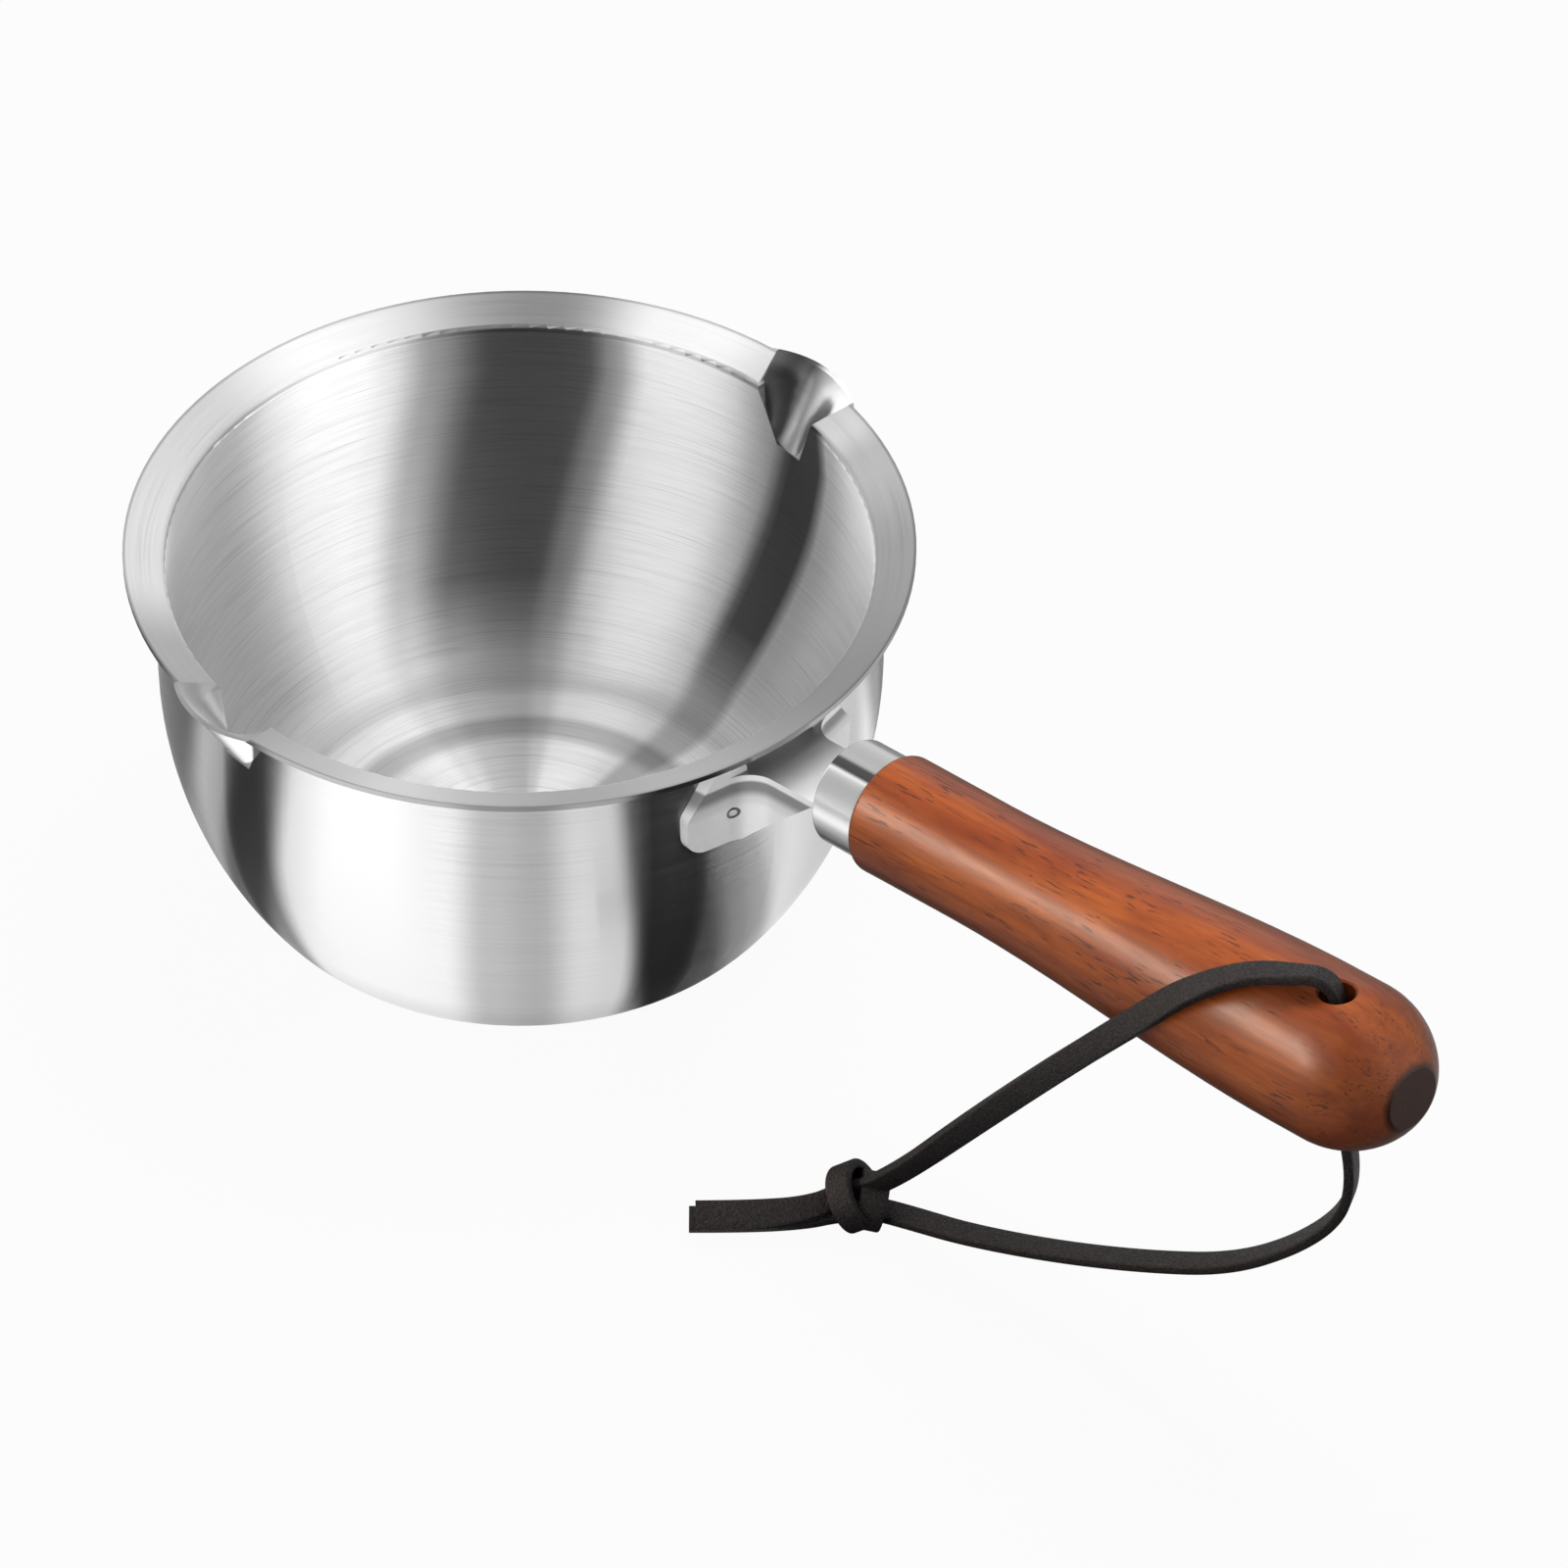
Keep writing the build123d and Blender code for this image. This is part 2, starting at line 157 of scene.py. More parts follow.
def hang_cards(name, rings, stops):
    """A ring of cards, lit by the stops, that only a mirror shows."""
    ring = ring_of_cards(name, rings)
    card = bpy.data.materials.new(name + "_card")
    card.use_nodes = True
    tree = card.node_tree
    tree.nodes.clear()
    place = tree.nodes.new("ShaderNodeTexCoord")
    apart = tree.nodes.new("ShaderNodeSeparateXYZ")
    tree.links.new(place.outputs["Object"], apart.inputs[0])
    turn = tree.nodes.new("ShaderNodeMath")
    turn.operation = "ARCTAN2"
    tree.links.new(apart.outputs["Y"], turn.inputs[0])
    tree.links.new(apart.outputs["X"], turn.inputs[1])
    part_turn = tree.nodes.new("ShaderNodeMapRange")
    part_turn.inputs["From Min"].default_value = -pi
    part_turn.inputs["From Max"].default_value = pi
    tree.links.new(turn.outputs[0], part_turn.inputs["Value"])
    ramp = tree.nodes.new("ShaderNodeValToRGB")
    ramp.color_ramp.interpolation = "EASE"
    ramp.color_ramp.elements.remove(ramp.color_ramp.elements[0])
    for number, (degrees, level) in enumerate(stops):
        at = (degrees + 180) / 360
        stop = ramp.color_ramp.elements.new(at) if number else ramp.color_ramp.elements[0]
        stop.position = at
        stop.color = (level, level, level, 1)
    tree.links.new(part_turn.outputs[0], ramp.inputs["Fac"])
    glow = tree.nodes.new("ShaderNodeEmission")
    tree.links.new(ramp.outputs["Color"], glow.inputs["Color"])
    surface = tree.nodes.new("ShaderNodeOutputMaterial")
    tree.links.new(glow.outputs[0], surface.inputs["Surface"])
    ring.data.materials.append(card)
    ring.visible_camera = False
    ring.visible_diffuse = False
    ring.visible_shadow = False
    ring.visible_transmission = False


def from_camera(*pairs):
    """Stops given as degrees to the right of the camera's side become degrees round the table."""
    return sorted(((degrees + camera_side + 180) % 360 - 180, level) for degrees, level in pairs)


low_cards = from_camera(
    (-180, 0.4), (-118, 0.2), (-100, 0.25), (-90, 0.6), (-82, 0.5), (-76, 0.15), (-66, 0.2), (-58, 0.85),
    (-46, 1.0), (-18, 1.0), (-8, 0.7), (3, 0.6), (12, 0.8), (21, 0.75), (27, 0.04), (42, 0.05), (50, 0.3),
    (56, 0.45), (63, 0.95), (84, 0.85), (102, 0.95), (110, 0.35), (122, 0.3),
)
high_cards = from_camera(
    (-180, 2.0), (-160, 1.7), (-122, 1.6), (-108, 0.05), (-80, 0.05), (-68, 2.2), (-38, 2.2), (-24, 0.02),
    (15, 0.02), (27, 0.8), (48, 3.2), (80, 3.2), (94, 0.9), (150, 1.3), (165, 2.0),
)
hang_cards("low_cards", [(0.004, 0.0005), (0.4, 0.0005), (0.9, 0.02)], low_cards)
hang_cards("high_cards", [(0.9, 0.03), (0.9, 0.7), (0.6, 1.2), (0.02, 1.5)], high_cards)


# Pan: one drawn and pressed shell of stainless steel. Inside it is brushed round and round, outside
# it is polished, and the flared rim is satin. Brushed steel draws every light into upright bands; more
# bands of painted reflection, and painted shade along the creases, the rim's lips and the spouts, are in its
# colour.
def sum_of(tree, kind, *values):
    """One sum in a material. Each value is a number or what another node gives."""
    made = tree.nodes.new("ShaderNodeMath")
    made.operation = kind
    for socket, value in zip(made.inputs, values):
        if isinstance(value, (int, float)):
            socket.default_value = value
        else:
            tree.links.new(value, socket)
    return made.outputs[0]


def spread(tree, value, low, high, first, last):
    """The value's stretch from low to high, drawn out to run from first to last."""
    made = tree.nodes.new("ShaderNodeMapRange")
    tree.links.new(value, made.inputs["Value"])
    made.inputs["From Min"].default_value = low
    made.inputs["From Max"].default_value = high
    made.inputs["To Min"].default_value = first
    made.inputs["To Max"].default_value = last
    return made.outputs["Result"]


def blend_colours(tree, share, first, last, kind="MIX"):
    """A colour between two others, or their product."""
    made = tree.nodes.new("ShaderNodeMix")
    made.data_type = "RGBA"
    made.blend_type = kind
    for socket, value in ((made.inputs[0], share), (made.inputs[6], first), (made.inputs[7], last)):
        if isinstance(value, tuple):
            socket.default_value = (*value, 1)
        elif isinstance(value, (int, float)):
            socket.default_value = value
        else:
            tree.links.new(value, socket)
    return made.outputs[2]


def bands(tree, value, stops):
    """Grey levels along a value that runs from 0 to 1."""
    made = tree.nodes.new("ShaderNodeValToRGB")
    made.color_ramp.interpolation = "EASE"
    made.color_ramp.elements.remove(made.color_ramp.elements[1])
    for number, (at, level) in enumerate(stops):
        stop = made.color_ramp.elements.new(at) if number else made.color_ramp.elements[0]
        stop.position = at
        stop.color = (level, level, level, 1)
    tree.links.new(value, made.inputs["Fac"])
    return made.outputs["Color"]


def spots(tree, place, scale, detail, roughness):
    """A cloudy pattern over the surface, from 0 to 1."""
    made = tree.nodes.new("ShaderNodeTexNoise")
    made.inputs["Scale"].default_value = scale
    made.inputs["Detail"].default_value = detail
    made.inputs["Roughness"].default_value = roughness
    tree.links.new(place, made.inputs["Vector"])
    return made.outputs["Fac"]


def relief(tree, height, strength, distance):
    """Small unevenness of the surface."""
    made = tree.nodes.new("ShaderNodeBump")
    made.inputs["Strength"].default_value = strength
    made.inputs["Distance"].default_value = distance
    tree.links.new(height, made.inputs["Height"])
    return made.outputs["Normal"]


def grey(level):
    """The grey of this level, as a colour."""
    return (level, level, level)


def multiply_colours(tree, first, last):
    """The product of two colours."""
    return blend_colours(tree, 1.0, first, last, "MULTIPLY")


def length_of(tree, first, last):
    """How far away a place is that lies this far off in two square directions."""
    return sum_of(tree, "SQRT", sum_of(
        tree, "ADD", sum_of(tree, "MULTIPLY", first, first), sum_of(tree, "MULTIPLY", last, last),
    ))


def split_up(tree, vector):
    """The X, Y and Z parts of a place or a direction."""
    made = tree.nodes.new("ShaderNodeSeparateXYZ")
    tree.links.new(vector, made.inputs[0])
    return made.outputs["X"], made.outputs["Y"], made.outputs["Z"]


def dress(node_name, material):
    """A carried-over piece gets this material in place of its own."""
    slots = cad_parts[node_name].data.materials
    slots.clear()
    slots.append(material)


def all_round(degrees_and_levels):
    """Stops given in degrees round the pan become stops from 0 to 1."""
    return sorted(((degrees + 180) / 360, level) for degrees, level in degrees_and_levels)


bend_height = 0.0721
rim_height = 0.0750
spout_low = 0.0605
spout_turn = radians(3)
brush_length = 0.03
brush_width = 0.0003

pan_steel = bpy.data.materials.new("pan_steel")
pan_steel.use_nodes = True
tree = pan_steel.node_tree
shader = tree.nodes["Principled BSDF"]
shader.inputs["Metallic"].default_value = 1
shader.inputs["Anisotropic"].default_value = 1
shader.inputs["Anisotropic Rotation"].default_value = 0.25
place = tree.nodes.new("ShaderNodeTexCoord").outputs["Object"]
across, deep, height = split_up(tree, place)
radius = length_of(tree, across, deep)
round_way = tree.nodes.new("ShaderNodeCombineXYZ")
tree.links.new(sum_of(tree, "MULTIPLY", deep, -1), round_way.inputs["X"])
tree.links.new(across, round_way.inputs["Y"])
tree.links.new(round_way.outputs[0], shader.inputs["Tangent"])
turn = spread(tree, sum_of(tree, "ARCTAN2", deep, across), -pi, pi, 0, 1)
facing = tree.nodes.new("ShaderNodeNewGeometry").outputs["Normal"]
facing_across, facing_deep, facing_up = split_up(tree, facing)
outward = sum_of(tree, "DIVIDE", sum_of(
    tree, "ADD", sum_of(tree, "MULTIPLY", across, facing_across), sum_of(tree, "MULTIPLY", deep, facing_deep),
), sum_of(tree, "MAXIMUM", radius, 0.001))
inwardness = sum_of(tree, "SUBTRACT", sum_of(tree, "MULTIPLY", facing_up, 0.6), outward)
inside = spread(tree, inwardness, -0.05, 0.05, 0, 1)
on_rim = sum_of(tree, "MULTIPLY", inside, spread(tree, height, bend_height - 0.0002, bend_height, 0, 1))

brush_place = tree.nodes.new("ShaderNodeCombineXYZ")
tree.links.new(sum_of(tree, "DIVIDE", across, brush_length), brush_place.inputs["X"])
tree.links.new(sum_of(tree, "DIVIDE", deep, brush_length), brush_place.inputs["Y"])
tree.links.new(sum_of(
    tree, "DIVIDE", sum_of(tree, "ADD", height, radius), brush_width,
), brush_place.inputs["Z"])
brush_lines = spots(tree, brush_place.outputs[0], 1.0, 2, 0.6)
brush_strength = blend_colours(tree, inside, grey(0.05), grey(1))
brush_strength = blend_colours(tree, on_rim, brush_strength, grey(0.3))
brush_grey = bands(tree, brush_lines, [(0.3, 0.8), (0.5, 1.0), (0.7, 0.88)])
brush_shade = blend_colours(tree, brush_strength, grey(1), brush_grey, "MULTIPLY")

# Painted reflection: upright light and dark bands round the outside, set by the turn round the pan.
painted_outside_reflections = bands(tree, turn, all_round([
    (-180, 0.85), (-150, 0.95), (-125, 0.75), (-108, 0.5), (-102, 0.85), (-97.5, 0.8), (-95, 0.18),
    (-88, 0.18), (-82, 0.95), (-74, 1.0), (-56, 1.0), (-49, 0.8), (-40, 0.78), (-34, 0.92), (-27, 0.9),
    (-22.5, 0.18), (-15, 0.18), (-12, 0.6), (0, 0.65), (4, 0.75), (14, 0.68), (22, 0.6), (28, 0.95),
    (33, 0.95), (38, 0.5), (46, 0.6), (56, 0.85), (75, 1.0), (95, 0.75), (120, 0.95), (150, 0.8),
    (180, 0.85),
]))
# Painted shade: the outside turns darker towards the table at the bottom.
painted_shade_near_table = spread(tree, height, 0.0, 0.016, 0.55, 0)
painted_outside_reflections = blend_colours(tree, painted_shade_near_table, painted_outside_reflections, grey(0.3))

# Painted reflection: upright light and dark bands inside, leaning a little down the wall, and fading to an
# even pale grey near the bottom.
leaning_turn = sum_of(tree, "SUBTRACT", turn, spread(tree, height, 0.008, 0.062, 0.03, 0))
painted_inside_reflections = bands(tree, leaning_turn, all_round([
    (-180, 0.95), (-150, 0.85), (-110, 0.95), (-60, 0.85), (-20, 1.0), (20, 0.85), (50, 0.95), (66, 1.0),
    (76, 0.9), (78.5, 0.15), (86, 0.15), (91, 0.85), (100, 1.0), (115, 1.0), (121, 0.5), (126, 0.2),
    (141, 0.2), (151, 0.55), (159, 0.95), (163, 1.0), (172, 1.0), (180, 0.95),
]))
low_inside = spread(tree, height, 0.002, 0.018, 0.5, 0)
painted_inside_reflections = blend_colours(tree, low_inside, painted_inside_reflections, grey(0.95))
# Painted reflection: two darker rings on the bottom inside, near where the wall turns into it.
painted_bottom_reflections = bands(tree, spread(tree, radius, 0, 0.05, 0, 1), [
    (0.0, 1.0), (0.58, 1.0), (0.65, 0.62), (0.7, 0.58), (0.76, 1.0), (0.83, 1.0), (0.9, 0.75), (1.0, 1.0),
])
on_bottom = spread(tree, height, 0.002, 0.012, 1, 0)
painted_bottom_reflections = blend_colours(tree, on_bottom, grey(1), painted_bottom_reflections)
painted_inside_reflections = multiply_colours(tree, painted_inside_reflections, painted_bottom_reflections)

# Painted reflection: light and dark bands round the satin rim.
painted_rim_reflections = bands(tree, turn, all_round([
    (-180, 0.7), (-145, 0.68), (-128, 0.62), (-110, 0.34), (-90, 0.34), (-74, 0.42), (-60, 0.5),
    (-25, 0.3), (10, 0.24), (45, 0.3), (68, 0.45), (76, 0.7), (100, 0.95), (114, 0.8),
    (130, 0.42), (155, 0.58), (180, 0.7),
]))
# The steel's colour is made of painted reflection and painted shade, with the brush lines over them.
brushing_and_painted_light = blend_colours(tree, inside, painted_outside_reflections, painted_inside_reflections)
brushing_and_painted_light = blend_colours(tree, on_rim, brushing_and_painted_light, painted_rim_reflections)

# Painted shade: a thin dark line along the inside of the bend under the rim.
near_bend = spread(tree, height, bend_height - 0.0013, bend_height + 0.0007, 0, 1)
painted_crease_shade = bands(tree, near_bend, [(0.2, 1.0), (0.4, 0.6), (0.55, 0.6), (0.65, 1.0), (1.0, 1.0)])
painted_crease_shade = blend_colours(tree, inside, grey(1), painted_crease_shade)
# Painted shade: a thin dark line round the rim's inner lip, and another near its top on the outside.
painted_inner_lip_shade = bands(tree, spread(tree, radius, 0.0685, 0.0700, 0, 1), [(0.55, 1.0), (0.85, 0.6)])
painted_outer_lip_shade = bands(tree, spread(tree, height, 0.0730, 0.0736, 0, 1), [(0.0, 1.0), (1.0, 0.55)])
painted_lip_lines = blend_colours(tree, inside, painted_outer_lip_shade, painted_inner_lip_shade)
brushing_and_painted_light = multiply_colours(tree, brushing_and_painted_light, painted_crease_shade)
brushing_and_painted_light = multiply_colours(tree, brushing_and_painted_light, painted_lip_lines)

spout_way = tree.nodes.new("ShaderNodeMapping")
spout_way.inputs["Rotation"].default_value = (0, 0, spout_turn)
tree.links.new(place, spout_way.inputs["Vector"])
spout_across, spout_out = split_up(tree, spout_way.outputs[0])[:2]
sideways = sum_of(tree, "MULTIPLY", spout_across, sum_of(tree, "SIGN", spout_out))
spout_half = sum_of(
    tree, "ADD", spread(tree, height, spout_low, bend_height, 0.0030, 0.00725),
    spread(tree, height, bend_height, rim_height, 0, 0.00275),
)
past_spout = sum_of(tree, "SUBTRACT", sum_of(tree, "ABSOLUTE", sideways), spout_half)
in_spout = sum_of(
    tree, "MULTIPLY", spread(tree, height, spout_low - 0.0001, spout_low + 0.0003, 0, 1),
    spread(tree, past_spout, -0.0001, 0.0001, 1, 0),
)
# Painted shade and reflection in the spouts: inside, near-black beside one fold and bright towards the other
# (an even grey in the front spout); outside, bright under the nose and dark on one side.
spout_share = spread(tree, sideways, -0.01, 0.01, 0, 1)
painted_spout_channel_shade = bands(tree, spout_share, [(0.0, 0.12), (0.2, 0.06), (0.36, 0.12), (0.55, 1.0), (1.0, 1.0)])
front_spout = spread(tree, spout_out, -0.001, 0.001, 1, 0)
painted_spout_channel_shade = blend_colours(tree, front_spout, painted_spout_channel_shade, grey(0.38))
painted_spout_nose_shade = bands(tree, spout_share, [(0.0, 1.0), (0.62, 1.0), (0.78, 0.3), (1.0, 0.25)])
brushing_and_painted_light = blend_colours(tree, in_spout, brushing_and_painted_light, blend_colours(tree, inside, painted_spout_nose_shade, painted_spout_channel_shade))
brush_shade = blend_colours(tree, in_spout, brush_shade, grey(1))
brushing_and_painted_light = multiply_colours(tree, brushing_and_painted_light, brush_shade)
brushing_and_painted_light = multiply_colours(tree, brushing_and_painted_light, grey(0.97))
tree.links.new(brushing_and_painted_light, shader.inputs["Base Color"])
satin_bottom = spread(tree, height, 0.002, 0.010, 0.55, 1)
tree.links.new(blend_colours(tree, inside, grey(1), satin_bottom), shader.inputs["Metallic"])
smoothness = blend_colours(tree, inside, grey(0.22), grey(0.46))
smoothness = blend_colours(tree, in_spout, smoothness, grey(0.48))
brush_roughness = spread(tree, brush_lines, 0.3, 0.7, -0.04, 0.05)
tree.links.new(sum_of(tree, "ADD", smoothness, brush_roughness), shader.inputs["Roughness"])
dress("pan_shell", pan_steel)

# Bracket: one stamping of satin steel, spot welded to the wall under the rim. Its flat top bends down
# into two lugs, and each lug carries one pressed ring where it was welded.
weld_apart = 0.0110
weld_height = 0.0599
web_height = 0.0595
web_rise = 0.1317

bracket_steel = bpy.data.materials.new("bracket_steel")
bracket_steel.use_nodes = True
tree = bracket_steel.node_tree
shader = tree.nodes["Principled BSDF"]
shader.inputs["Metallic"].default_value = 0.45
place = tree.nodes.new("ShaderNodeTexCoord").outputs["Object"]
stretch = tree.nodes.new("ShaderNodeMapping")
stretch.inputs["Scale"].default_value = (0.15, 1, 1)
tree.links.new(place, stretch.inputs["Vector"])
fine_lines = spots(tree, stretch.outputs[0], 700, 2, 0.5)
lug_grey = blend_colours(tree, fine_lines, grey(0.86), grey(0.93))
across, deep, height = split_up(tree, place)
facing = tree.nodes.new("ShaderNodeNewGeometry").outputs["Normal"]
facing_up = split_up(tree, facing)[2]
# Painted shade: the flat top is dark next to the pan's wall and lighter towards the handle.
painted_web_shade = bands(tree, spread(tree, across, 0.066, 0.084, 0, 1), [
    (0.0, 0.12), (0.25, 0.3), (0.6, 0.55), (1.0, 0.72),
])
# Painted shade: a thin dark ring round each weld, where the pressed ring sits.
weld_side = sum_of(tree, "SUBTRACT", sum_of(tree, "ABSOLUTE", deep), weld_apart)
weld_rise = sum_of(tree, "SUBTRACT", height, weld_height)
painted_weld_ring_shade = bands(tree, spread(tree, length_of(tree, weld_side, weld_rise), 0, 0.002, 0, 1), [
    (0.0, 0.9), (0.32, 0.9), (0.38, 0.3), (0.58, 0.3), (0.65, 1.0), (1.0, 1.0),
])
lug_grey = multiply_colours(tree, lug_grey, painted_weld_ring_shade)
# Painted shade: a dark band a little below the flat top, on the lugs' faces.
top_height = sum_of(tree, "ADD", sum_of(tree, "MULTIPLY", across, web_rise), web_height)
below_top = sum_of(tree, "SUBTRACT", top_height, height)
painted_hollow_shade = bands(tree, spread(tree, below_top, 0, 0.01, 0, 1), [
    (0.0, 1.0), (0.1, 1.0), (0.17, 0.3), (0.3, 0.3), (0.55, 0.85), (0.75, 1.0), (1.0, 1.0),
])
lug_grey = multiply_colours(tree, lug_grey, painted_hollow_shade)
on_web = spread(tree, facing_up, 0.75, 0.95, 0, 1)
tree.links.new(blend_colours(tree, on_web, lug_grey, painted_web_shade), shader.inputs["Base Color"])
tree.links.new(spread(tree, fine_lines, 0.3, 0.7, 0.38, 0.43), shader.inputs["Roughness"])
dress("handle_bracket", bracket_steel)

# Ferrule: a thin drawn cap of polished steel, pressed over the front of the handle. It mirrors the
# room, and bands of reflection that run along it are painted into its colour.
handle_start = (0.0647, 0, 0.0673)
handle_slope = radians(-7.5)


def handle_ways(tree):
    """Places measured along the handle's line from its start at the wall."""
    made = tree.nodes.new("ShaderNodeMapping")
    made.vector_type = "TEXTURE"
    made.inputs["Location"].default_value = handle_start
    made.inputs["Rotation"].default_value = (0, handle_slope, 0)
    tree.links.new(tree.nodes.new("ShaderNodeTexCoord").outputs["Object"], made.inputs["Vector"])
    return made.outputs[0]


ferrule_steel = bpy.data.materials.new("ferrule_steel")
ferrule_steel.use_nodes = True
tree = ferrule_steel.node_tree
shader = tree.nodes["Principled BSDF"]
shader.inputs["Metallic"].default_value = 0.7
shader.inputs["Roughness"].default_value = 0.24
side_way, up_way = split_up(tree, handle_ways(tree))[1:]
front_way = sum_of(tree, "MULTIPLY", side_way, -1)
turn = spread(tree, sum_of(tree, "ARCTAN2", front_way, up_way), -pi, pi, 0, 1)
# Painted reflection: light and dark bands along the ferrule, set by the turn round the handle's line.
tree.links.new(bands(tree, turn, all_round([
    (-180, 0.8), (-100, 0.8), (-60, 0.5), (-30, 0.3), (0, 0.25), (12, 0.3), (17, 0.04), (25, 0.04), (30, 0.9),
    (38, 1.0), (80, 1.0), (92, 0.5), (105, 0.2), (125, 0.35), (150, 0.6), (180, 0.8),
])), shader.inputs["Base Color"])
dress("ferrule", ferrule_steel)

# Handle: turned from a reddish brown hardwood with short open pores, and finished with a satin
# lacquer. The end grain at the back drinks more of it and is darker, and painted shade darkens it more.
pale_wood = (0.68, 0.165, 0.03)
red_wood = (0.31, 0.05, 0.009)
streak_brown = (0.20, 0.036, 0.011)
pore_brown = (0.06, 0.016, 0.008)
bulb_brown = (0.11, 0.035, 0.018)
end_grain_and_painted_shade = (0.022, 0.007, 0.004)
painted_side_shade = (0.05, 0.014, 0.006)

handle_wood = bpy.data.materials.new("handle_wood")
handle_wood.use_nodes = True
tree = handle_wood.node_tree
shader = tree.nodes["Principled BSDF"]
shader.inputs["Coat Weight"].default_value = 0.22
shader.inputs["Coat Roughness"].default_value = 0.36
shader.inputs["Specular IOR Level"].default_value = 0.06
along_handle = handle_ways(tree)
length_way = split_up(tree, along_handle)[0]


def drawn_out(tree, scale_along, scale_across):
    """The handle's own directions, with the pattern drawn out along the grain."""
    made = tree.nodes.new("ShaderNodeMapping")
    made.inputs["Scale"].default_value = (scale_along, scale_across, scale_across)
    tree.links.new(along_handle, made.inputs["Vector"])
    return made.outputs[0]


broad = spots(tree, drawn_out(tree, 22, 130), 1.0, 3, 0.55)
streaks = spots(tree, drawn_out(tree, 60, 900), 1.0, 3, 0.6)
pores = spots(tree, drawn_out(tree, 230, 2200), 1.0, 1, 0.4)
pore_places = spots(tree, drawn_out(tree, 90, 300), 1.0, 1, 0.5)
colour = blend_colours(tree, spread(tree, broad, 0.32, 0.68, 0, 1), red_wood, pale_wood)
colour = blend_colours(tree, spread(tree, streaks, 0.35, 0.7, 0, 0.5), colour, streak_brown)
pore_depth = sum_of(
    tree, "MULTIPLY", spread(tree, pores, 0.59, 0.66, 0, 1), spread(tree, pore_places, 0.45, 0.6, 0, 1),
)
colour = blend_colours(tree, sum_of(tree, "MULTIPLY", pore_depth, 0.75), colour, pore_brown)
colour = blend_colours(tree, spread(tree, length_way, 0.128, 0.146, 0, 0.5), colour, bulb_brown)
# The end facet is dark brown: partly the darker end grain, partly painted shade where it faces away from the
# light.
colour = blend_colours(tree, spread(tree, length_way, 0.1485, 0.1491, 0, 0.95), colour, end_grain_and_painted_shade)
# Painted shade: the wood turns dark brown where its surface is seen edge on, at the handle's top and bottom
# sides.
edge_on = tree.nodes.new("ShaderNodeLayerWeight").outputs["Facing"]
colour = blend_colours(tree, spread(tree, edge_on, 0.35, 0.9, 0, 0.9), colour, painted_side_shade)
tree.links.new(colour, shader.inputs["Base Color"])
tree.links.new(spread(tree, streaks, 0.3, 0.7, 0.38, 0.5), shader.inputs["Roughness"])
grain_height = sum_of(tree, "SUBTRACT", sum_of(tree, "MULTIPLY", streaks, 0.3), pore_depth)
tree.links.new(relief(tree, grain_height, 0.35, 0.0001), shader.inputs["Normal"])
dress("handle_grip", handle_wood)

# Lace: one flat strip of dark brown leather, doubled through the hole in the handle. The upper half
# bends down over the side, turning as it goes, the lower half hangs, and both run on into the knot.
lace_width = 0.0047
lace_thickness = 0.0018
lace_corner = 0.0004
corner_steps = 4
dark_leather = (0.004, 0.003, 0.0034)
pale_leather = (0.042, 0.034, 0.036)
worn_leather = (0.006, 0.0042, 0.0042)

lace_leather = bpy.data.materials.new("lace_leather")
lace_leather.use_nodes = True
tree = lace_leather.node_tree
shader = tree.nodes["Principled BSDF"]
shader.inputs["Specular IOR Level"].default_value = 0.14
place = tree.nodes.new("ShaderNodeTexCoord").outputs["Object"]
grain = spread(tree, spots(tree, place, 2200, 3, 0.7), 0.38, 0.66, 0, 1)
patches = spots(tree, place, 260, 2, 0.5)
shade = blend_colours(tree, grain, dark_leather, pale_leather)
shade = blend_colours(tree, sum_of(tree, "MULTIPLY", patches, 0.5), shade, worn_leather)
tree.links.new(shade, shader.inputs["Base Color"])
tree.links.new(spread(tree, grain, 0, 1, 0.6, 0.42), shader.inputs["Roughness"])
tree.links.new(relief(tree, grain, 0.6, 0.0002), shader.inputs["Normal"])


def follow_route(route):
    """The points of one smooth line that has the route, in millimetres, for its control points."""
    line = bpy.data.curves.new("route", "CURVE")
    line.dimensions = "3D"
    run = line.splines.new("NURBS")
    run.points.add(len(route) - 1)
    for point, place in zip(run.points, route):
        point.co = (place[0] / 1000, place[1] / 1000, place[2] / 1000, 1)
    run.order_u = 3
    run.use_endpoint_u = True
    run.resolution_u = 10
    holder = bpy.data.objects.new("route", line)
    points = [vertex.co.copy() for vertex in bpy.data.meshes.new_from_object(holder).vertices]
    bpy.data.objects.remove(holder)
    return points


def strip_corners():
    """The strip's section: for each corner point its side across, its side out, and its rounding."""
    section = []
    for across, out, start in ((1, 1, 0), (-1, 1, 90), (-1, -1, 180), (1, -1, 270)):
        for step in range(corner_steps):
            angle = radians(start + step * 90 / (corner_steps - 1))
            rounding = lace_corner * (cos(angle) - across), lace_corner * (sin(angle) - out)
            section.append((across, out, *rounding))
    return section


